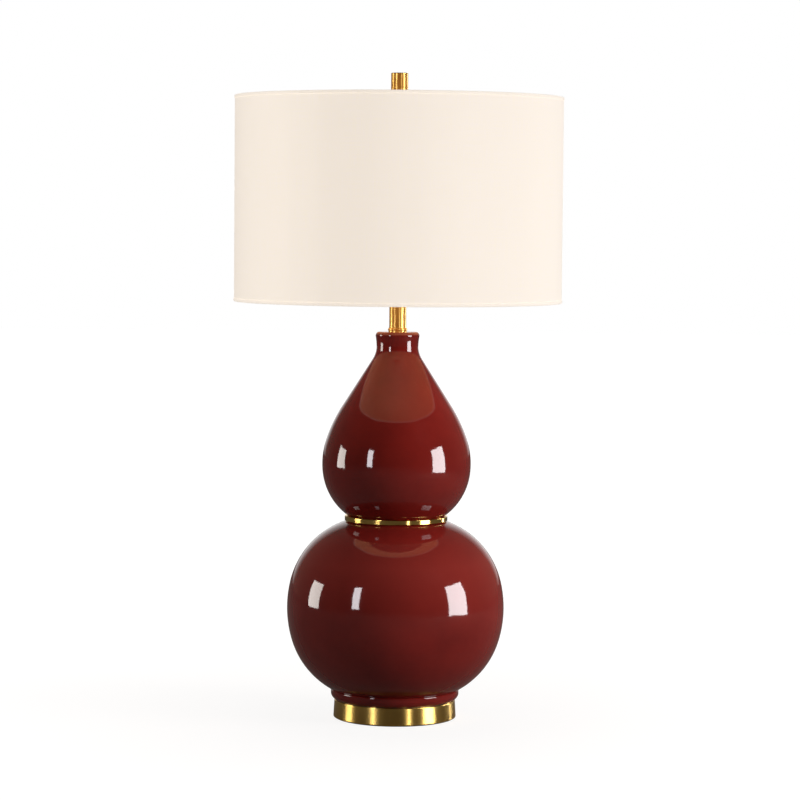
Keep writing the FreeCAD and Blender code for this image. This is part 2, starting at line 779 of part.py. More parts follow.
def neck_tube():
    """Brass tube between the neck and the socket."""
    section = ring("tube_radius - tube_wall", "tube_radius", "0", "tube_length")
    return turned("neck_tube", section, "tube_base")


def tube_collar():
    """Stepped brass plug that centres the tube's upper end on the pipe."""
    spigot = "tube_radius - tube_wall - tube_fit"
    return turned("tube_collar", [
        ("pipe_hole_radius", "-collar_depth"),
        (spigot, "-collar_depth"),
        (spigot, "0"),
        ("tube_radius", "0"),
        ("tube_radius", "collar_plate"),
        ("pipe_hole_radius", "collar_plate"),
    ], "collar_base")


def harp_saddle():
    """Flat steel strip clamped under the socket, with an upright prong at each end."""
    body = new_body("harp_saddle")
    end, side, corner = "(leg_offset + saddle_end)", "(saddle_width / 2)", "saddle_corner"
    strip = new_sketch(body, "strip_outline", "XY_Plane")
    draw(strip, [
        (f"{corner} - {end}", f"-{side}", LEFT, corner),
        (f"{end} - {corner}", f"-{side}"),
        (end, f"{corner} - {side}", LEFT, corner),
        (end, f"{side} - {corner}"),
        (f"{end} - {corner}", side, LEFT, corner),
        (f"{corner} - {end}", side),
        (f"-{end}", f"{side} - {corner}", LEFT, corner),
        (f"-{end}", f"{corner} - {side}"),
    ])
    draw_circle(strip, "0", "0", "pipe_hole_radius")
    plate = body.newObject("PartDesign::Pad", "harp_saddle_plate")
    plate.Profile = strip
    bind(plate, Length="saddle_strip")
    prongs = new_sketch(body, "prong_outline", "XY_Plane")
    for side_sign in ("", "-"):
        draw_circle(prongs, f"{side_sign}leg_offset", "0", "wire_radius")
    rods = body.newObject("PartDesign::Pad", "harp_saddle_prongs")
    rods.Profile = prongs
    bind(rods, Length="saddle_strip + prong_height")
    stand(body, "saddle_base")
    return body


# ---------------------------------------------------------------- socket

def socket_cap():
    """Brass cap that screws on the pipe and carries the shell."""
    dome = "((cap_radius - cap_hub_radius) ^ 2 + cap_dome_rise ^ 2) / (2 * cap_dome_rise)"
    inner_reach = "(cap_radius - socket_wall - cap_hub_radius)"
    inner_rise = "(cap_dome_rise - socket_wall)"
    inner_dome = f"({inner_reach} ^ 2 + {inner_rise} ^ 2) / (2 * {inner_rise})"
    return turned("socket_cap", [
        ("pipe_hole_radius", "0"),
        ("cap_hub_radius", "0"),
        ("cap_hub_radius", "cap_hub_height"),
        ("cap_radius", "cap_hub_height + cap_dome_rise", LEFT, dome),
        ("cap_radius", "cap_height"),
        ("cap_radius - socket_wall", "cap_height"),
        ("cap_radius - socket_wall", "cap_hub_height + cap_dome_rise"),
        ("cap_hub_radius", "cap_hub_height + socket_wall", RIGHT, inner_dome),
        ("pipe_hole_radius", "cap_hub_height + socket_wall"),
    ], "socket_base")


def socket_shell():
    """Brass shell, beaded above the cap, with a window for the switch shaft."""
    bead_low = "shell_lap + shell_fit"
    bead_high = "shell_lap + shell_fit + shell_bead_height"
    bead_bend = "(shell_bead_height ^ 2 / 4 + shell_bead_swell ^ 2) / (2 * shell_bead_swell)"
    body = turned("socket_shell", [
        ("shell_radius - shell_wall", "0"),
        ("shell_radius", "0"),
        ("shell_radius", bead_low),
        ("shell_radius", bead_high, LEFT, bead_bend),
        ("shell_radius", "shell_height"),
        ("shell_radius - shell_wall", "shell_height"),
    ], "shell_base")
    cut_side(body, "switch_window", "liner_inset + switch_rise", "window_radius",
             "2 * shell_radius", towards_front=True)
    return body


def socket_liner():
    """Cardboard tube between the shell and the live parts."""
    section = ring("liner_radius - liner_wall", "liner_radius", "0",
                   "shell_height - 2 * liner_inset")
    body = turned("socket_liner", section, "interior_base")
    cut_side(body, "switch_window", "switch_rise", "window_radius", "2 * liner_radius",
             towards_front=True)
    return body


def socket_interior():
    """Moulded block with the switch bore and a flat seat for a terminal on each side."""
    body = turned("socket_interior", ring("0", "interior_radius", "0", "interior_height"),
                  "interior_base")
    cut_side(body, "switch_bore", "switch_rise", "shaft_radius + shaft_fit",
             "2 * interior_radius", towards_front=True, start="shaft_start - shaft_bore_gap")
    seats = new_sketch(body, "seat_outline", "XZ_Plane")
    low = "switch_rise - terminal_seat_height / 2"
    high = "switch_rise + terminal_seat_height / 2"
    draw(seats, ring("terminal_seat", "2 * interior_radius", low, high))
    draw(seats, ring("-2 * interior_radius", "-terminal_seat", low, high))
    flats = body.newObject("PartDesign::Pocket", "socket_interior_seats")
    flats.Profile = seats
    flats.Midplane = True
    bind(flats, Length="4 * interior_radius")
    holes = new_sketch(body, "terminal_outline", "YZ_Plane")
    draw_circle(holes, "0", "switch_rise", "terminal_shank_radius + terminal_fit")
    bores = body.newObject("PartDesign::Pocket", "socket_interior_terminals")
    bores.Profile = holes
    bores.Midplane = True
    bind(bores, Length="4 * interior_radius")
    return body


def socket_screw_shell():
    """Threaded brass sleeve that holds the bulb's cap."""
    section = ring("screw_shell_radius", "screw_shell_radius + screw_shell_wall", "0",
                   "screw_shell_height")
    return turned("socket_screw_shell", section, "interior_top")


def socket_contact():
    """Centre contact."""
    return turned("socket_contact", ring("0", "contact_radius", "0", "contact_height"),
                  "interior_top")


def terminal_screws():
    """Two alike screws, one in each side of the moulded block."""
    screws = []
    for place, side in (("right", 1), ("left", -1)):
        head = primitive("Cylinder", f"{place}_terminal_head", "switch_height",
                         Radius="terminal_head_radius", Height="terminal_head")
        shank = primitive("Cylinder", f"{place}_terminal_shank", "switch_height",
                          Radius="terminal_shank_radius", Height="terminal_depth")
        for solid, start in ((head, "terminal_seat"), (shank, "terminal_seat - terminal_depth")):
            solid.Placement.Rotation = FreeCAD.Rotation(FreeCAD.Vector(0, 1, 0),
                                                        side * QUARTER_TURN)
            solid.setExpression("Placement.Base.x", bound(f"{side} * ({start})"))
        screw = doc.addObject("Part::Fuse", f"{place}_terminal")
        screw.Base = head
        screw.Tool = shank
        screws.append(screw)
    return gathered("terminal_screws", screws)


# ---------------------------------------------------------------- turn switch

def face_front(body, distance):
    """Lay a piece that was turned upright along the front, starting at a distance."""
    body.Placement.Rotation = FreeCAD.Rotation(FreeCAD.Vector(1, 0, 0), QUARTER_TURN)
    body.setExpression("Placement.Base.y", bound(f"-({distance})"))


def switch_shaft():
    """Brass shaft from the moulded block out to the knob."""
    body = turned("switch_shaft", ring("0", "shaft_radius", "0", "shaft_length"),
                  "switch_height")
    face_front(body, "shaft_start")
    return body


def switch_knob():
    """Fluted knob with a blind socket for the shaft."""
    socket = "(shaft_radius + shaft_fit)"
    body = turned("switch_knob", [
        (socket, "0"),
        ("knob_radius", "0"),
        ("knob_radius", "knob_length - knob_edge"),
        ("knob_radius - knob_edge", "knob_length", LEFT, "knob_edge"),
        ("0", "knob_length"),
        ("0", "knob_socket_depth"),
        (socket, "knob_socket_depth"),
    ], "switch_height")
    outline = new_sketch(body, "flute_outline", "XY_Plane")
    draw_circle(outline, "knob_radius", "0", "knob_flute_radius")
    flute = body.newObject("PartDesign::Pocket", "switch_knob_flute")
    flute.Profile = outline
    flute.Reversed = True
    bind(flute, Length="knob_length")
    repeat(body, flute, outline, "knob_flutes")
    face_front(body, "knob_start")
    return body


def repeat(body, feature, sketch, count):
    """Repeat a feature evenly round the body's Z axis, which is normal to the sketch."""
    pattern = body.newObject("PartDesign::PolarPattern", f"{feature.Name}_pattern")
    pattern.Originals = [feature]
    pattern.Axis = (sketch, ["N_Axis"])
    pattern.Angle = FULL_TURN
    bind(pattern, Occurrences=count)
    body.Tip = pattern
    return pattern


# ---------------------------------------------------------------- harp

def harp():
    """Bowed wire from saddle to seat, with a boss at the crown for the swivel stud."""
    body = new_body("harp")
    wire = new_sketch(body, "wire_section", "XY_Plane")
    draw_circle(wire, "leg_offset", "0", "wire_radius")
    flare_end = ("leg_offset + harp_heel_bend * (1 - cos(flare_turn))",
                 "harp_straight_leg + harp_heel_bend * sin(flare_turn)")
    crown_end = ("harp_half_width - crown_bend * (1 - cos(crown_turn))",
                 "harp_widest + crown_bend * sin(crown_turn)")
    right_side = [
        ("leg_offset", "0"),
        ("leg_offset", "harp_straight_leg"),
        (*flare_end, RIGHT, "harp_heel_bend"),
        ("harp_half_width", "harp_widest", LEFT, "flare_sum - harp_heel_bend"),
        (*crown_end, LEFT, "crown_bend"),
        ("harp_top_flat", "harp_rise", LEFT, "harp_shoulder_bend"),
    ]
    path = new_sketch(body, "wire_path", "XZ_Plane")
    draw(path, right_side + other_side(right_side), closed=False)
    sweep(body, "wire", wire, path)
    low, high = "harp_rise - boss_height / 2", "harp_rise + boss_height / 2"
    turn(body, "boss", ring("0", "boss_radius", low, high))
    turn(body, "bore", ring("0", "stud_shank_radius + stud_fit", f"{low} - stud_head",
                            f"{high} + stud_head"), kind="Groove")
    stand(body, "harp_base")
    return body


def other_side(path):
    """The mirror image of an open path, from its end back to its start."""
    mirrored = []
    bends = [()] + [corner[2:] for corner in path[:0:-1]]
    for corner, bend in zip(path[::-1], bends):
        mirrored.append((f"-({corner[0]})", corner[1], *bend))
    return mirrored


def harp_sleeve(side_name, sign):
    """Brass sleeve that locks one leg of the harp on its prong."""
    section = ring("sleeve_bore_radius", "sleeve_bore_radius + sleeve_wall", "0",
                   "sleeve_length")
    body = turned(f"harp_sleeve_{side_name}", section, "saddle_top")
    body.setExpression("Placement.Base.x", bound(f"{sign}leg_offset"))
    return body


def harp_stud():
    """Swivel stud: a head under the boss, a seat above it and a threaded end."""
    shank_low = "(-stud_flange - stud_fit - boss_height - stud_fit)"
    return turned("harp_stud", [
        ("0", f"{shank_low} - stud_head"),
        ("stud_head_radius", f"{shank_low} - stud_head"),
        ("stud_head_radius", shank_low),
        ("stud_shank_radius", shank_low),
        ("stud_shank_radius", "-stud_flange"),
        ("stud_flange_radius", "-stud_flange"),
        ("stud_flange_radius", "0"),
        ("stud_radius", "0"),
        ("stud_radius", "stud_length"),
        ("0", "stud_length"),
    ], "seat_height")


# ---------------------------------------------------------------- shade

def shade_fabric():
    """Linen skin of the drum."""
    section = ring("shade_radius - fabric_thickness", "shade_radius", "hem_inset",
                   "shade_height - hem_inset")
    return turned("shade_fabric", section, "shade_base")


def shade_liner():
    """Translucent sheet that the linen is glued to."""
    section = ring("skin_radius - liner_thickness", "skin_radius", "hem_inset",
                   "shade_height - hem_inset")
    return turned("shade_liner", section, "shade_base")


def shade_bottom_ring():
    """Wire ring inside the lower edge."""
    body = new_body("shade_bottom_ring")
    wire_turn(body, "wire_ring_inset")
    stand(body, "shade_base")
    return body


def wire_turn(body, height):
    """Turn the round section of a shade ring about the body's axis."""
    section = new_sketch(body, "ring_section", "XZ_Plane")
    draw_circle(section, "wire_ring_radius", height, "ring_wire_radius")
    feature = body.newObject("PartDesign::Revolution", f"{body.Label}_ring")
    feature.Profile = section
    feature.ReferenceAxis = (section, ["V_Axis"])
    feature.Angle = FULL_TURN


def shade_hem(place, edge, sign, inner_lap):
    """Folded strip of linen over one edge of the drum, its wire ring and its liner."""
    outer_lap = f"{edge} {sign} hem_depth"
    return turned(f"shade_{place}_hem", [
        ("hem_radius", outer_lap),
        ("hem_radius + hem_thickness", outer_lap),
        ("hem_radius + hem_thickness", edge),
        ("hem_inner_radius - hem_thickness", edge),
        ("hem_inner_radius - hem_thickness", f"{edge} {sign} ({inner_lap})"),
        ("hem_inner_radius", f"{edge} {sign} ({inner_lap})"),
        ("hem_inner_radius", f"{edge} {sign} hem_thickness"),
        ("hem_radius", f"{edge} {sign} hem_thickness"),
    ], "shade_base")


def spider_fitter():
    """Welded wire spider: a washer on the harp's seat, three arms and the top ring."""
    body = new_body("spider_fitter")
    turn(body, "hub", ring("spider_bore_radius", "spider_hub_radius", "0",
                           "spider_hub_thickness"))
    section = new_sketch(body, "arm_section", "YZ_Plane")
    section.setExpression("AttachmentOffset.Base.z", bound("arm_start"))
    draw_circle(section, "0", "arm_radius", "arm_radius")
    path = new_sketch(body, "arm_path", "XZ_Plane")
    draw(path, [
        ("arm_start", "arm_radius"),
        ("wire_ring_radius - arm_rise_run", "arm_radius"),
        ("wire_ring_radius - arm_rise_run / 2", "arm_radius + arm_rise / 2", LEFT, "arm_bend"),
        ("wire_ring_radius", "arm_end_height", RIGHT, "arm_bend"),
    ], closed=False)
    arm = sweep(body, "arm", section, path)
    plan = new_sketch(body, "plan", "XY_Plane")
    repeat(body, arm, plan, "spider_arms")
    wire_turn(body, "spider_ring_height")
    stand(body, "seat_height")
    body.Placement.Rotation = FreeCAD.Rotation(FreeCAD.Vector(0, 0, 1), QUARTER_TURN)
    return body


def finial():
    """Plain brass cylinder with a blind thread; it screws down on the spider."""
    bore = "(stud_radius + finial_fit)"
    return turned("finial", [
        (bore, "0"),
        ("finial_radius - finial_edge", "0"),
        ("finial_radius", "finial_edge", LEFT, "finial_edge"),
        ("finial_radius", "finial_height - finial_edge"),
        ("finial_radius - finial_edge", "finial_height", LEFT, "finial_edge"),
        ("0", "finial_height"),
        ("0", "finial_depth"),
        (bore, "finial_depth"),
    ], "finial_base")


# ---------------------------------------------------------------- bulb

def bulb_glass():
    """Hollow glass envelope, round above and drawn in to a neck."""
    skin = "bulb_glass_wall"
    inner_radius = f"(bulb_radius - {skin})"
    join_share = f"(bulb_flare_bend + {skin}) / (bulb_flare_bend + bulb_radius)"
    neck_low = "cap_top - cap_shoulder"
    return turned("bulb_glass", [
        ("0", neck_low),
        ("bulb_neck_radius", neck_low),
        ("bulb_neck_radius", "cap_top"),
        ("bulb_join_radius", "bulb_join", RIGHT, "bulb_flare_bend"),
        ("bulb_radius", "bulb_centre", LEFT, "bulb_radius"),
        ("0", "bulb_centre + bulb_radius", LEFT, "bulb_radius"),
        ("0", f"bulb_centre + {inner_radius}"),
        (inner_radius, "bulb_centre", RIGHT, inner_radius),
        (f"bulb_flare_hub * (1 - {join_share})",
         f"cap_top + (bulb_centre - cap_top) * {join_share}", RIGHT, inner_radius),
        (f"bulb_neck_radius - {skin}", "cap_top", LEFT, f"bulb_flare_bend + {skin}"),
        (f"bulb_neck_radius - {skin}", f"{neck_low} + {skin}"),
        ("0", f"{neck_low} + {skin}"),
    ], "bulb_base")


def bulb_cap():
    """Screw cap: a thin sleeve with a rounded thread, joined to the glass at its top."""
    root = "(bulb_cap_radius - thread_root)"
    inner = f"({root} - bulb_cap_wall)"
    quarter = "thread_pitch / 4"
    crest_bend = f"(({quarter}) ^ 2 + (thread_root / 2) ^ 2) / thread_root"
    outline = [(inner, "cap_foot"), (root, "cap_foot")]
    middle = f"{root} + thread_root / 2"
    for crest in range(SIZES["thread_turns"]):
        foot = f"cap_foot + {crest} * thread_pitch"
        outline += [
            (middle, f"{foot} + {quarter}", RIGHT, crest_bend),
            ("bulb_cap_radius", f"{foot} + 2 * {quarter}", LEFT, crest_bend),
            (middle, f"{foot} + 3 * {quarter}", LEFT, crest_bend),
            (root, f"{foot} + 4 * {quarter}", RIGHT, crest_bend),
        ]
    outline += [(root, "cap_top"), (inner, "cap_top")]
    return turned("bulb_cap", outline, "bulb_base")


def bulb_insulator():
    """Black glass cone between the screw cap and the tip."""
    return turned("bulb_insulator", [
        ("0", "bulb_contact_height"),
        ("bulb_contact_radius", "bulb_contact_height"),
        ("bulb_cap_radius - thread_root - bulb_cap_wall", "cap_foot"),
        ("0", "cap_foot"),
    ], "bulb_base")


def bulb_contact():
    """Soldered tip of the bulb."""
    tip = "bulb_contact_radius"
    return turned("bulb_contact", [
        ("0", "0"),
        (tip, "bulb_contact_height", LEFT,
         f"({tip} ^ 2 + bulb_contact_height ^ 2) / (2 * bulb_contact_height)"),
        ("0", "bulb_contact_height"),
    ], "bulb_base")


# ---------------------------------------------------------------- build, check and write

def build():
    """Make every sub-part, from the table upwards."""
    fill_sheet()
    for make in (felt_pad, foot_shell, weight_disc, foot_washer, lock_nuts, cord_bushing,
                 base_gasket, lower_gourd, waist_gaskets, waist_ring, upper_gourd, lamp_pipe,
                 seating_ring, neck_tube, tube_collar, harp_saddle, socket_cap, socket_shell,
                 socket_liner, socket_interior, socket_screw_shell, socket_contact,
                 terminal_screws, switch_shaft, switch_knob, harp, harp_stud, shade_fabric,
                 shade_liner, shade_bottom_ring, spider_fitter, finial, bulb_glass, bulb_cap,
                 bulb_insulator, bulb_contact):
        make()
    harp_sleeve("right", "")
    harp_sleeve("left", "-")
    shade_hem("top", "shade_height", "-", "wire_ring_inset - hem_top_lap")
    shade_hem("bottom", "0", "+", "hem_depth")
    doc.recompute()


def check_cut(feature):
    """Stop if a cut took nothing away, or took it from the wrong side of the axis."""
    before, after = feature.BaseFeature.Shape, feature.Shape
    if after.Volume >= before.Volume:
        raise RuntimeError(f"{feature.Label} cut nothing")
    if feature in side_cuts:
        shift = after.CenterOfGravity.y - before.CenterOfGravity.y
        if (shift > 0) != feature.Reversed:
            raise RuntimeError(f"{feature.Label} cut the wrong side")


def check():
    """Stop if any object failed, any cut went wrong or any sub-part is not a valid solid."""
    for thing in doc.Objects:
        if "Invalid" in thing.State or "Error" in thing.State:
            raise RuntimeError(f"{thing.Label} failed: {thing.State}")
        if thing.TypeId in ("PartDesign::Pocket", "PartDesign::Groove"):
            check_cut(thing)
    for node in nodes:
        if node.Shape.isNull() or not node.Shape.isValid() or not node.Shape.Solids:
            raise RuntimeError(f"{node.Label} is not a valid solid")


def write():
    """Write one STEP file for each sub-part."""
    os.makedirs("parts", exist_ok=True)
    for node in nodes:
        node.Shape.exportStep(f"parts/{node.Label}.step")
        box = node.Shape.optimalBoundingBox()
        print(f"{node.Label:20s} {len(node.Shape.Solids)} solid(s), {node.Shape.Volume:12.1f} mm3,"
              f" x {box.XMin:7.2f} to {box.XMax:7.2f}, y {box.YMin:7.2f} to {box.YMax:7.2f},"
              f" z {box.ZMin:7.2f} to {box.ZMax:7.2f}")


build()
check()
write()
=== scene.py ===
import math

import bmesh
import bpy
from mathutils import Matrix, Vector, noise

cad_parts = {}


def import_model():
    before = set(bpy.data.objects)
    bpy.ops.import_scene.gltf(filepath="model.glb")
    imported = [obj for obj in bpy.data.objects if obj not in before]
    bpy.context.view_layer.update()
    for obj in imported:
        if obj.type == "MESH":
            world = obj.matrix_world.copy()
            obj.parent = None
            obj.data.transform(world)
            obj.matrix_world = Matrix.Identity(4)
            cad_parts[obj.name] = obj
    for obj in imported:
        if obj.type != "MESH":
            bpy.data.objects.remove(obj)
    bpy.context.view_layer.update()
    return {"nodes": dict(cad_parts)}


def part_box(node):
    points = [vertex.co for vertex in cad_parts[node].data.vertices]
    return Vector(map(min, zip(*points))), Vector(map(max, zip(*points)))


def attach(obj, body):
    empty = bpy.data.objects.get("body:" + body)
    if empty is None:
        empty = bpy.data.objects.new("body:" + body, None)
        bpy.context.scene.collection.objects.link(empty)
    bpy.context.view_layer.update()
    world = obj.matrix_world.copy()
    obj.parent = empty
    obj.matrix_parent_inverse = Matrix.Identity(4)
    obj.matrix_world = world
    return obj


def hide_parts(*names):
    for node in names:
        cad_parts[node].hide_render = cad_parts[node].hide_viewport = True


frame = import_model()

# Double gourd table lamp: glazed stoneware on a spun brass foot, under a linen drum shade.
# Metres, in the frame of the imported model. The lamp's axis is the Z axis.

FULL_TURN = 2 * math.pi


# ---------------------------------------------------------------- camera

CAMERA_PLACE = Vector((0.0037, -3.676, 0.6289))
CAMERA_DOWN = math.radians(3.604)
CAMERA_ROLL = 0.0082
CAMERA_LENS = 133.25
SENSOR_WIDTH = 36.0
FARTHEST_SEEN = 50.0


def camera():
    """The photograph's view: a long lens, a little above the middle, very slightly rolled."""
    lens = bpy.data.cameras.new("camera")
    lens.lens = CAMERA_LENS
    lens.sensor_width = SENSOR_WIDTH
    lens.clip_end = FARTHEST_SEEN
    eye = bpy.data.objects.new("camera", lens)
    bpy.context.scene.collection.objects.link(eye)
    tilt = Matrix.Rotation(math.pi / 2 - CAMERA_DOWN, 4, "X")
    turn = tilt @ Matrix.Rotation(CAMERA_ROLL, 4, "Z")
    eye.matrix_world = Matrix.Translation(CAMERA_PLACE) @ turn
    bpy.context.scene.camera = eye


# ---------------------------------------------------------------- node helpers

def add(tree, kind, settings=None, inputs=None):
    """A node with its settings and its inputs, each a plain value or another node's output."""
    node = tree.nodes.new(kind)
    for name, value in (settings or {}).items():
        setattr(node, name, value)
    for name, value in (inputs or {}).items():
        socket = node.inputs[name]
        if isinstance(value, bpy.types.NodeSocket):
            tree.links.new(value, socket)
        else:
            socket.default_value = value
    return node


def maths(tree, operation, first, second=0.0, third=0.0):
    """Output of a Math node."""
    inputs = {0: first, 1: second, 2: third}
    return add(tree, "ShaderNodeMath", {"operation": operation}, inputs).outputs[0]


def ramp(tree, factor, *stops):
    """Output of a colour ramp; a stop is its place and its colour or grey level."""
    node = add(tree, "ShaderNodeValToRGB", None, {0: factor})
    elements = node.color_ramp.elements
    while len(elements) < len(stops):
        elements.new(1.0)
    for element, (place, colour) in zip(elements, stops):
        element.position = place
        element.color = (*colour, 1.0) if isinstance(colour, tuple) else (colour,) * 3 + (1.0,)
    return node.outputs[0]


def grain(tree, coordinates, scale, detail=2.0, roughness=0.5, distortion=0.0):
    """Output of a noise texture."""
    node = add(tree, "ShaderNodeTexNoise", None, {
        "Vector": coordinates, "Scale": scale, "Detail": detail, "Roughness": roughness,
        "Distortion": distortion})
    return node.outputs[0]


def stretched(tree, coordinates, scale):
    """Coordinates multiplied by a scale for each axis."""
    node = add(tree, "ShaderNodeMapping", None, {"Vector": coordinates, "Scale": scale})
    return node.outputs[0]


def bumped(tree, height, distance, strength=1.0, normal=None):
    """Normal of a surface raised by a height of 0 to 1."""
    inputs = {"Height": height, "Distance": distance, "Strength": strength}
    if normal is not None:
        inputs["Normal"] = normal
    return add(tree, "ShaderNodeBump", None, inputs).outputs[0]


def mixed(tree, factor, first, second, blend="MIX"):
    """Output of a colour mix."""
    node = add(tree, "ShaderNodeMix", {"data_type": "RGBA", "blend_type": blend})
    for socket, value in ((node.inputs[0], factor), (node.inputs[6], first),
                          (node.inputs[7], second)):
        if isinstance(value, bpy.types.NodeSocket):
            tree.links.new(value, socket)
        elif isinstance(value, tuple):
            socket.default_value = (*value, 1.0)
        else:
            socket.default_value = value
    return node.outputs[2]


def blank(name):
    """A material with nothing in it, its node tree and its object coordinates."""
    material = bpy.data.materials.new(name)
    material.use_nodes = True
    tree = material.node_tree
    tree.nodes.clear()
    place = add(tree, "ShaderNodeTexCoord").outputs["Object"]
    return material, tree, place


def finished(tree, inputs):
    """Principled shader wired to the material's output."""
    wired = {}
    for name, value in inputs.items():
        wired[name] = (*value, 1.0) if isinstance(value, tuple) and len(value) == 3 else value
    shader = add(tree, "ShaderNodeBsdfPrincipled", None, wired)
    add(tree, "ShaderNodeOutputMaterial", None, {"Surface": shader.outputs[0]})


def height_of(tree, place):
    """Output that gives the height above the table."""
    return add(tree, "ShaderNodeSeparateXYZ", None, {0: place}).outputs[2]


def unrolled(tree, place, radius):
    """Distance round the lamp's axis at a radius, height, and both as flat coordinates."""
    axes = add(tree, "ShaderNodeSeparateXYZ", None, {0: place}).outputs
    angle = maths(tree, "ARCTAN2", axes[0], maths(tree, "MULTIPLY", axes[1], -1.0))
    along, up = maths(tree, "MULTIPLY", angle, radius), axes[2]
    flat = add(tree, "ShaderNodeCombineXYZ", None, {0: along, 1: up, 2: 0.0}).outputs[0]
    return along, up, flat


# ---------------------------------------------------------------- materials

def glaze():
    """Oxblood glaze: deep glassy red with faint mottling, with a painted band of light high on
    the lower gourd, and a lighter brown at the mouth, where the glaze runs thinner and a
    reflection is painted in."""
    material, tree, place = blank("oxblood_glaze")
    cloud = grain(tree, place, 14.0, 4.0, 0.6)
    colour = ramp(tree, cloud, (0.30, (0.160, 0.0105, 0.0082)), (0.70, (0.215, 0.0142, 0.0104)))
    speck = ramp(tree, grain(tree, place, 900.0, 1.0), (0.62, 0.0), (0.72, 1.0))
    colour = mixed(tree, maths(tree, "MULTIPLY", speck, 0.10), colour, (0.09, 0.008, 0.007))
    height = height_of(tree, place)
    # Painted light: a lighter red band high on the lower gourd, where light from above falls.
    painted_light_band = ramp(tree, height, (0.110, 0.0), (0.165, 0.36), (0.200, 0.55), (0.238, 0.0))
    colour = mixed(tree, painted_light_band, colour, (0.30, 0.034, 0.026))
    # Lighter brown at the mouth: the glaze runs thinner at the rim, and a painted reflection of
    # the warm shade lining is mixed in.
    thin_rim_and_reflection = ramp(tree, maths(tree, "DIVIDE", height, 0.5), (0.9570, 0.0), (0.9650, 1.0))
    colour = mixed(tree, maths(tree, "MULTIPLY", thin_rim_and_reflection, 0.70), colour, (0.50, 0.19, 0.110))
    peel = bumped(tree, grain(tree, place, 95.0, 2.0), 0.00006)
    waves = bumped(tree, grain(tree, place, 16.0, 1.0), 0.0005, 1.0, peel)
    finished(tree, {"Base Color": colour, "Roughness": 0.06, "IOR": 1.54, "Normal": waves})
    return material


RINGS_PER_METRE = 1800.0
RING_DEPTH = 0.000004


def turned_metal(name, colour, dark, roughness, spread):
    """Metal turned about the axis: fine rings that spread a reflection upright. The roughness
    is a ramp's stops over the height."""
    material, tree, place = blank(name)
    roughness = ramp(tree, height_of(tree, place), *roughness)
    rings = grain(tree, stretched(tree, place, (6.0, 6.0, RINGS_PER_METRE)), 1.0, 3.0, 0.7)
    cloud = grain(tree, place, 30.0, 4.0, 0.6)
    tint = mixed(tree, ramp(tree, cloud, (0.35, 0.0), (0.75, 0.6)), colour, dark)
    tint = mixed(tree, ramp(tree, rings, (0.45, 0.0), (0.80, 0.5)), tint, dark)
    tangent = add(tree, "ShaderNodeTangent", {"direction_type": "RADIAL", "axis": "Z"})
    finished(tree, {
        "Base Color": tint, "Metallic": 1.0, "Roughness": roughness, "Anisotropic": spread,
        "Anisotropic Rotation": 0.25, "Tangent": tangent.outputs[0],
        "Normal": bumped(tree, rings, RING_DEPTH)})
    return material


def plain_metal(name, colour, dark, roughness, scale=160.0):
    """Drawn or plated metal with faint clouding and scratches."""
    material, tree, place = blank(name)
    cloud = grain(tree, place, scale, 5.0, 0.6)
    tint = mixed(tree, ramp(tree, cloud, (0.40, 0.0), (0.75, 0.8)), colour, dark)
    rough = ramp(tree, grain(tree, place, 4 * scale, 2.0), (0.2, 0.8 * roughness),
                 (0.8, 1.3 * roughness))
    finished(tree, {"Base Color": tint, "Metallic": 1.0, "Roughness": rough,
                    "Normal": bumped(tree, cloud, 0.00002)})
    return material


def moulded(name, colour, roughness, scale=500.0, depth=0.00003, clouding=0.25):
    """Moulded or cast material: a fine grain and a slightly uneven colour."""
    material, tree, place = blank(name)
    fine = grain(tree, place, scale, 3.0, 0.6)
    darker = tuple(channel * (1 - clouding) for channel in colour)
    tint = mixed(tree, ramp(tree, grain(tree, place, scale / 8), (0.3, 0.0), (0.7, 1.0)),
                 colour, darker)
    finished(tree, {"Base Color": tint, "Roughness": roughness,
                    "Normal": bumped(tree, fine, depth)})
    return material


THREAD = 0.00075
THREAD_DRIFT = THREAD * 0.9
SHADE_RADIUS = 0.2032


def linen(name, colour, glow, strength):
    """Plain linen weave with slubs, with a painted glow that stands for the bulb's light
    shining through it.
    """
    material, tree, place = blank(name)
    along, up, flat = unrolled(tree, place, SHADE_RADIUS)
    drift = grain(tree, flat, 260.0, 2.0)
    warp = maths(tree, "MULTIPLY_ADD", drift, THREAD_DRIFT, along)
    weft = maths(tree, "MULTIPLY_ADD", drift, THREAD_DRIFT, up)
    across = maths(tree, "SINE", maths(tree, "MULTIPLY", warp, math.pi / THREAD))
    over = maths(tree, "SINE", maths(tree, "MULTIPLY", weft, math.pi / THREAD))
    weave = maths(tree, "MULTIPLY_ADD", maths(tree, "MULTIPLY", across, over), 0.5, 0.5)
    slub_weft = grain(tree, stretched(tree, flat, (28.0, 900.0, 1.0)), 1.0, 3.0, 0.7)
    slub_warp = grain(tree, stretched(tree, flat, (900.0, 28.0, 1.0)), 1.0, 3.0, 0.7)
    slubs = maths(tree, "MULTIPLY", maths(tree, "ADD", slub_weft, slub_warp), 0.5)
    shade = ramp(tree, slubs, (0.30, 0.90), (0.70, 1.0))
    tint = mixed(tree, 1.0, colour, shade, "MULTIPLY")
    tint = mixed(tree, 1.0, tint, ramp(tree, weave, (0.0, 0.93), (1.0, 1.0)), "MULTIPLY")
    height = maths(tree, "MULTIPLY_ADD", slubs, 0.7, maths(tree, "MULTIPLY", weave, 0.5))
    # Painted glow: an emission on the cloth that stands for the bulb's light coming through it.
    lit = mixed(tree, 1.0, glow, shade, "MULTIPLY")
    finished(tree, {
        "Base Color": tint, "Roughness": 0.92, "Sheen Weight": 0.25, "Sheen Roughness": 0.5,
        "Emission Color": lit, "Emission Strength": strength,
        "Normal": bumped(tree, height, 0.00018, 0.8)})
    return material


# Height of the bulb, and how far from it the liner's painted glow fades.
BULB_HEIGHT = 0.640
PAINTED_GLOW_REACH = 0.14


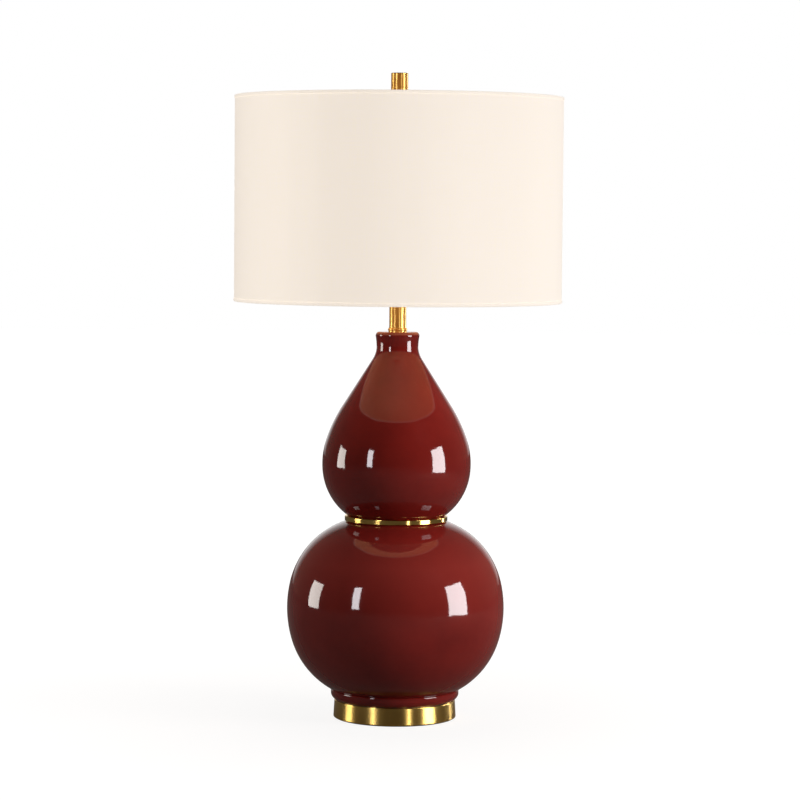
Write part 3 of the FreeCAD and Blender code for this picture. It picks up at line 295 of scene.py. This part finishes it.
def liner():
    """Translucent sheet behind the linen, with a painted warm glow, strongest at the bulb's
    height.
    """
    material, tree, place = blank("liner_sheet")
    _, up, flat = unrolled(tree, place, SHADE_RADIUS)
    slubs = grain(tree, stretched(tree, flat, (40.0, 700.0, 1.0)), 1.0, 3.0, 0.7)
    tint = mixed(tree, ramp(tree, slubs, (0.3, 0.0), (0.7, 1.0)), (0.80, 0.70, 0.58),
                 (0.88, 0.80, 0.68))
    # Painted glow from the bulb, warmest at the bulb's height.
    from_bulb = maths(tree, "ABSOLUTE", maths(tree, "SUBTRACT", up, BULB_HEIGHT))
    lit = ramp(tree, maths(tree, "DIVIDE", from_bulb, PAINTED_GLOW_REACH), (0.0, (1.0, 0.49, 0.24)),
               (1.0, (0.66, 0.29, 0.13)))
    finished(tree, {"Base Color": tint, "Roughness": 0.55, "Emission Color": lit,
                    "Emission Strength": 0.55, "Normal": bumped(tree, slubs, 0.00005)})
    return material


def felt():
    """Pressed felt: matted short fibres."""
    material, tree, place = blank("felt")
    fibres = grain(tree, stretched(tree, place, (1.0, 1.0, 2.0)), 900.0, 6.0, 0.8, 1.5)
    matting = grain(tree, place, 120.0, 4.0, 0.7)
    tint = mixed(tree, ramp(tree, fibres, (0.35, 0.0), (0.70, 1.0)), (0.018, 0.017, 0.017),
                 (0.060, 0.055, 0.052))
    height = maths(tree, "MULTIPLY_ADD", matting, 0.5, fibres)
    finished(tree, {"Base Color": tint, "Roughness": 1.0, "Sheen Weight": 0.5,
                    "Normal": bumped(tree, height, 0.0004)})
    return material


def frosted_glass():
    """Soft white bulb glass, lit from inside."""
    material, tree, place = blank("soft_white_glass")
    powder = grain(tree, place, 350.0, 3.0)
    lit = mixed(tree, ramp(tree, powder, (0.3, 0.0), (0.7, 1.0)), (1.0, 0.62, 0.32),
                (1.0, 0.70, 0.40))
    finished(tree, {"Base Color": (0.80, 0.77, 0.72), "Roughness": 0.22,
                    "Emission Color": lit, "Emission Strength": 0.7,
                    "Normal": bumped(tree, powder, 0.00002)})
    return material


# Over the height: the spun foot, the polished ring at the waist, the satin tube and finial.
BRASS_ROUGHNESS = ((0.10, 0.26), (0.15, 0.15), (0.40, 0.15), (0.46, 0.38))


def looks():
    """The material of each of the model's slots."""
    brass, brass_dark = (0.86, 0.58, 0.17), (0.62, 0.38, 0.09)
    return {
        "oxblood_glaze": glaze(),
        "satin_brass": turned_metal("satin_brass", brass, brass_dark, BRASS_ROUGHNESS, 0.88),
        "socket_brass": turned_metal("socket_brass", (0.78, 0.58, 0.24), brass_dark,
                                     ((0.0, 0.28), (1.0, 0.28)), 0.5),
        "brass_wire": plain_metal("brass_wire", (0.76, 0.56, 0.23), brass_dark, 0.24),
        "zinc_steel": plain_metal("zinc_steel", (0.62, 0.63, 0.64), (0.42, 0.43, 0.45), 0.32),
        "cast_iron": moulded("cast_iron", (0.045, 0.043, 0.042), 0.75, 260.0, 0.0003),
        "black_plastic": moulded("black_plastic", (0.014, 0.013, 0.013), 0.34),
        "black_rubber": moulded("black_rubber", (0.012, 0.011, 0.011), 0.78, 700.0, 0.00005),
        "phenolic": moulded("phenolic", (0.035, 0.020, 0.013), 0.38),
        "liner_card": moulded("liner_card", (0.42, 0.30, 0.19), 0.85, 900.0, 0.00008),
        # The linen's painted glow: colour (1.0, 0.86, 0.72) at strength 0.515.
        "white_linen": linen("white_linen", (0.68, 0.65, 0.60), (1.0, 0.86, 0.72), 0.515),
        "liner_sheet": liner(),
        "white_wire": moulded("white_wire", (0.74, 0.71, 0.66), 0.45, 800.0, 0.00002, 0.08),
        "soft_white_glass": frosted_glass(),
        "bulb_aluminium": plain_metal("bulb_aluminium", (0.80, 0.80, 0.80), (0.6, 0.6, 0.6),
                                      0.25),
        "black_glass": moulded("black_glass", (0.010, 0.010, 0.012), 0.08, 300.0, 0.00001),
        "solder_tip": plain_metal("solder_tip", (0.68, 0.67, 0.66), (0.46, 0.45, 0.45), 0.38,
                                  500.0),
        "felt": felt(),
    }


def dress(look):
    """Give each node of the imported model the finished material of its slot."""
    for node in frame["nodes"].values():
        for place in node.material_slots:
            place.material = look[place.material.name]


# ---------------------------------------------------------------- soft pieces

def piece(name, grid, material, body, replaced):
    """Object from closed loops of points, each loop joined to the next and the last to the
    first."""
    mesh = bpy.data.meshes.new(name)
    count, width = len(grid), len(grid[0])
    points = [point for loop in grid for point in loop]
    faces = []
    for row in range(count):
        below, above = row * width, ((row + 1) % count) * width
        for column in range(width):
            after = (column + 1) % width
            faces.append((below + column, below + after, above + after, above + column))
    mesh.from_pydata(points, [], faces)
    mesh.materials.append(material)
    mesh.update()
    tidy = bmesh.new()
    tidy.from_mesh(mesh)
    bmesh.ops.recalc_face_normals(tidy, faces=tidy.faces)
    tidy.to_mesh(mesh)
    tidy.free()
    for face in mesh.polygons:
        face.use_smooth = True
    thing = bpy.data.objects.new(name, mesh)
    bpy.context.scene.collection.objects.link(thing)
    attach(thing, body)
    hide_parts(replaced)
    return thing


def wobble(angle, height, size, seed):
    """Smooth seeded unevenness at a place on the drum, from -1 to 1."""
    point = Vector((math.sin(angle) / size, math.cos(angle) / size, height / size + seed))
    return noise.noise(point * SHADE_RADIUS)


SEAM_WIDTH = 0.011
SEAM_RISE = 0.00045
SEAM_EDGE = 0.0008
DRUM_COLUMNS = 720


def seam(angle):
    """How far the lapped seam at the back lifts the linen at an angle from the front."""
    along = (angle - math.pi) * SHADE_RADIUS
    if not -SEAM_EDGE < along < SEAM_WIDTH:
        return 0.0
    if along < 0:
        return SEAM_RISE * (1 + along / SEAM_EDGE)
    return SEAM_RISE * max(0.0, 1 - (along / SEAM_WIDTH) ** 3)


def on_drum(angle, radius, height):
    """Point at an angle from the front of the drum."""
    return (radius * math.sin(angle), -radius * math.cos(angle), height)


def drum_loop(section, columns=DRUM_COLUMNS):
    """Loops of points round the drum from a function of the angle that gives a section."""
    sections = [section(FULL_TURN * column / columns) for column in range(columns)]
    rows = len(sections[0])
    return [[sections[column][row] for column in range(columns)] for row in range(rows)]


LINEN_THICKNESS = 0.00055
LINEN_ROWS = 40
LINEN_RIPPLE = 0.00012


def shade_linen(look):
    """Linen skin of the drum: one strip with its ends lapped at the back."""
    low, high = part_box("shade_fabric")
    bottom, top = low.z, high.z

    def section(angle):
        outer, inner = [], []
        for row in range(LINEN_ROWS + 1):
            height = bottom + (top - bottom) * row / LINEN_ROWS
            ripple = LINEN_RIPPLE * wobble(angle, height, 0.035, 3.0)
            radius = SHADE_RADIUS - LINEN_RIPPLE + ripple
            outer.append(on_drum(angle, radius + seam(angle), height))
            inner.append(on_drum(angle, SHADE_RADIUS - LINEN_THICKNESS, height))
        return outer + inner[::-1]

    return piece("shade_linen", drum_loop(section), look["white_linen"], "drum_shade",
                 "shade_fabric")


HEM_INNER_RADIUS = 0.19875
HEM_WALL = 0.0004
HEM_LAP = 0.0035
HEM_PUCKER = 0.00010
HEM_WAVE = 0.00025


def hem(place, node, turn_in, look):
    """Folded strip of linen round an edge of the drum, with a soft fold and small puckers."""
    low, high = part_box(node)
    top_edge = place == "top"
    edge = high.z if top_edge else low.z
    into = -1.0 if top_edge else 1.0
    outer, inner = high.x, HEM_INNER_RADIUS
    wall, lap = HEM_WALL, HEM_LAP

    def section(angle):
        pucker = HEM_PUCKER * wobble(angle, edge, 0.006, 9.0)
        wave = HEM_WAVE * wobble(angle, edge, 0.02, 5.0)
        out = outer + seam(angle)
        profile = [
            (out - wall, lap + wave), (out - 0.5 * wall, lap + wave + 0.00012),
            (out, lap + wave - 0.0001), (out + pucker, 0.6 * lap), (out + pucker, 0.0012),
            (out - 0.00025, 0.00035), (out - 0.0009, 0.0),
            (0.5 * (out + inner), 0.00004), (inner + 0.0009, 0.0),
            (inner + 0.0002, 0.00035), (inner, 0.0012), (inner, turn_in),
            (inner + wall, turn_in), (inner + wall, 0.0012), (inner + 0.0010, wall),
            (0.5 * (out + inner), wall), (out - 0.0012, wall), (out - wall, 0.0012),
        ]
        return [on_drum(angle, radius, edge + into * rise) for radius, rise in profile]

    return piece(f"shade_{place}_binding", drum_loop(section), look["white_linen"],
                 "drum_shade", node)


FELT_COLUMNS = 360
FELT_CENTRE = 0.0006
FELT_EDGE = 0.0002
FELT_SLOPE = 0.0008


def felt_disc(look):
    """Felt under the foot: a disc with a soft, slightly ragged edge."""
    low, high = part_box("felt_pad")
    radius, thickness = high.x, high.z - low.z

    def section(angle):
        ragged = radius - FELT_EDGE * (1 + wobble(angle, 0.0, 0.004, 2.0))
        profile = [(FELT_CENTRE, 0.0), (0.4 * radius, 0.0), (0.8 * radius, 0.0),
                   (ragged - FELT_SLOPE, 0.00002), (ragged - FELT_EDGE, FELT_EDGE),
                   (ragged, 0.5 * thickness), (ragged - FELT_EDGE, thickness - FELT_EDGE),
                   (ragged - FELT_SLOPE, thickness), (0.8 * radius, thickness),
                   (0.4 * radius, thickness), (FELT_CENTRE, thickness)]
        return [on_drum(angle, across, low.z + up) for across, up in profile]

    return piece("foot_felt", drum_loop(section, FELT_COLUMNS), look["felt"], "lamp_body",
                 "felt_pad")


TOP_TURN_IN = 0.0012
BOTTOM_TURN_IN = 0.0035


def soft_pieces(look):
    """The linen, its bindings and the felt."""
    linen_sheet = shade_linen(look)
    upper = hem("top", "shade_top_hem", TOP_TURN_IN, look)
    lower = hem("bottom", "shade_bottom_hem", BOTTOM_TURN_IN, look)
    disc = felt_disc(look)


# ---------------------------------------------------------------- studio

def world():
    """White backdrop; for lighting and reflections it is bright behind and dim in front."""
    space = bpy.data.worlds.new("studio")
    bpy.context.scene.world = space
    space.use_nodes = True
    tree = space.node_tree
    tree.nodes.clear()
    direction = add(tree, "ShaderNodeTexCoord").outputs["Generated"]
    towards_back = add(tree, "ShaderNodeSeparateXYZ", None, {0: direction}).outputs[1]
    level = maths(tree, "MULTIPLY_ADD", towards_back, 0.5, 0.5)
    rays = add(tree, "ShaderNodeLightPath").outputs
    soft = ramp(tree, level, (0.05, 0.07), (0.45, 0.16), (0.75, 0.30), (0.92, 1.0))
    sharp = ramp(tree, level, (0.05, (0.03, 0.024, 0.018)), (0.50, (0.08, 0.066, 0.055)),
                 (0.92, (0.14, 0.12, 0.10)), (0.995, 1.0))
    room = mixed(tree, rays["Is Glossy Ray"], soft, sharp)
    plain = maths(tree, "MAXIMUM", rays["Is Camera Ray"], rays["Is Transmission Ray"])
    dim = add(tree, "ShaderNodeBackground", None, {"Color": room, "Strength": 1.0})
    white = add(tree, "ShaderNodeBackground", None,
                {"Color": (1.0, 1.0, 1.0, 1.0), "Strength": 1.0})
    both = add(tree, "ShaderNodeMixShader", None,
               {0: plain, 1: dim.outputs[0], 2: white.outputs[0]})
    add(tree, "ShaderNodeOutputWorld", None, {"Surface": both.outputs[0]})


FLOOR_HALF = 12.0
SHADOW_INNER, SHADOW_OUTER = 0.15, 1.0
FLOOR_IN_GLOSS = 0.02


def floor():
    """Pale floor that fades into the backdrop within a metre and keeps a soft shadow; its glow
    is dimmed near the lamp, a painted shade round the foot.
    """
    mesh = bpy.data.meshes.new("floor")
    corners = [(-FLOOR_HALF, -FLOOR_HALF, 0.0), (FLOOR_HALF, -FLOOR_HALF, 0.0),
               (FLOOR_HALF, FLOOR_HALF, 0.0), (-FLOOR_HALF, FLOOR_HALF, 0.0)]
    mesh.from_pydata(corners, [], [(0, 1, 2, 3)])
    ground = bpy.data.objects.new("floor", mesh)
    bpy.context.scene.collection.objects.link(ground)
    material, tree, place = blank("floor")
    rays = add(tree, "ShaderNodeLightPath").outputs
    seen = maths(tree, "MAXIMUM", rays["Is Camera Ray"], rays["Is Transmission Ray"])
    away = add(tree, "ShaderNodeVectorMath", {"operation": "LENGTH"}, {0: place})
    # Painted shade: the floor's glow is dimmed to 0.88 near the lamp, rising to full at a
    # metre.
    painted_shade_fade = ramp(tree, away.outputs["Value"], (SHADOW_INNER, 0.88), (SHADOW_OUTER, 1.0))
    shine = maths(tree, "MULTIPLY_ADD", rays["Is Glossy Ray"], FLOOR_IN_GLOSS,
                  maths(tree, "MULTIPLY", seen, painted_shade_fade))
    paper = add(tree, "ShaderNodeBsdfDiffuse", None, {"Color": (0.22, 0.20, 0.18, 1.0)})
    light = add(tree, "ShaderNodeEmission", None, {"Strength": shine})
    both = add(tree, "ShaderNodeAddShader", None, {0: paper.outputs[0], 1: light.outputs[0]})
    add(tree, "ShaderNodeOutputMaterial", None, {"Surface": both.outputs[0]})
    mesh.materials.append(material)


def softbox(name, azimuth, distance, low, high, width, radiance, colour):
    """Upright rectangular light, facing the lamp. The azimuth counts from the front to the
    viewer's right."""
    light = bpy.data.lights.new(name, "AREA")
    light.shape = "RECTANGLE"
    light.size, light.size_y = width, high - low
    light.energy = radiance * math.pi * width * (high - low)
    light.color = colour
    stand = bpy.data.objects.new(name, light)
    bpy.context.scene.collection.objects.link(stand)
    angle = math.radians(azimuth)
    place = Vector((distance * math.sin(angle), -distance * math.cos(angle), (low + high) / 2))
    aim = Vector((0.0, 0.0, (low + high) / 2)) - place
    stand.location = place
    stand.rotation_euler = aim.to_track_quat("-Z", "Y").to_euler()
    return stand


# Name; azimuth in degrees; distance; low edge; high edge; width; radiance where it is
# reflected; radiance where it lights; colour.
SOFTBOXES = (
    ("right_box", 68.0, 2.0, 0.00, 1.05, 0.80, 15.0, 11.0, (0.99, 0.98, 1.0)),
    ("left_strip", -95.0, 3.0, 0.05, 1.10, 0.85, 9.0, 3.5, (1.0, 0.96, 0.90)),
    ("front_left_box", -41.0, 2.4, 0.25, 1.25, 0.34, 13.0, 6.0, (0.96, 0.95, 1.0)),
)

BRASS_NODES = ("foot_shell", "waist_ring", "seating_ring", "neck_tube", "finial")
GLAZED_NODES = ("lower_gourd", "upper_gourd")
LINEN_PIECES = ("shade_linen", "shade_top_binding", "shade_bottom_binding")


def only_on(light, things):
    """Let a light reach these objects alone."""
    group = bpy.data.collections.new(light.name)
    for thing in things:
        group.objects.link(thing)
    light.light_linking.receiver_collection = group


# Name; azimuth in degrees; width.
ACCENTS = (("front_accent", 27.0, 0.20), ("back_accent", 130.0, 0.40))


def lights():
    """Softboxes where the glaze shows them, accents that only the brass shows, a high lamp for
    the glaze and a soft one for the linen."""
    for name, azimuth, distance, low, high, width, seen, lighting, colour in SOFTBOXES:
        place = (azimuth, distance, low, high, width)
        softbox(f"{name}_seen", *place, seen, colour).visible_diffuse = False
        softbox(f"{name}_fill", *place, lighting, colour).visible_glossy = False
    for name, azimuth, width in ACCENTS:
        accent = softbox(name, azimuth, 2.6, 0.0, 1.2, width, 12.0, (1.0, 0.98, 0.95))
        accent.visible_diffuse = False
        only_on(accent, [frame["nodes"][node] for node in BRASS_NODES])
    key = softbox("high_key", 48.0, 2.2, 1.5, 2.3, 0.9, 7.0, (1.0, 0.98, 0.97))
    key.visible_glossy = False
    key.rotation_euler = (-key.location).to_track_quat("-Z", "Y").to_euler()
    only_on(key, [frame["nodes"][node] for node in GLAZED_NODES])
    lift = softbox("shade_fill", -45.0, 2.5, 0.2, 1.2, 1.2, 6.8, (1.0, 0.98, 0.96))
    lift.visible_glossy = False
    only_on(lift, [bpy.data.objects[name] for name in LINEN_PIECES])


# ---------------------------------------------------------------- make it

camera()
materials = looks()
dress(materials)
soft_pieces(materials)
world()
floor()
lights()
bpy.context.scene.view_settings.view_transform = "Standard"
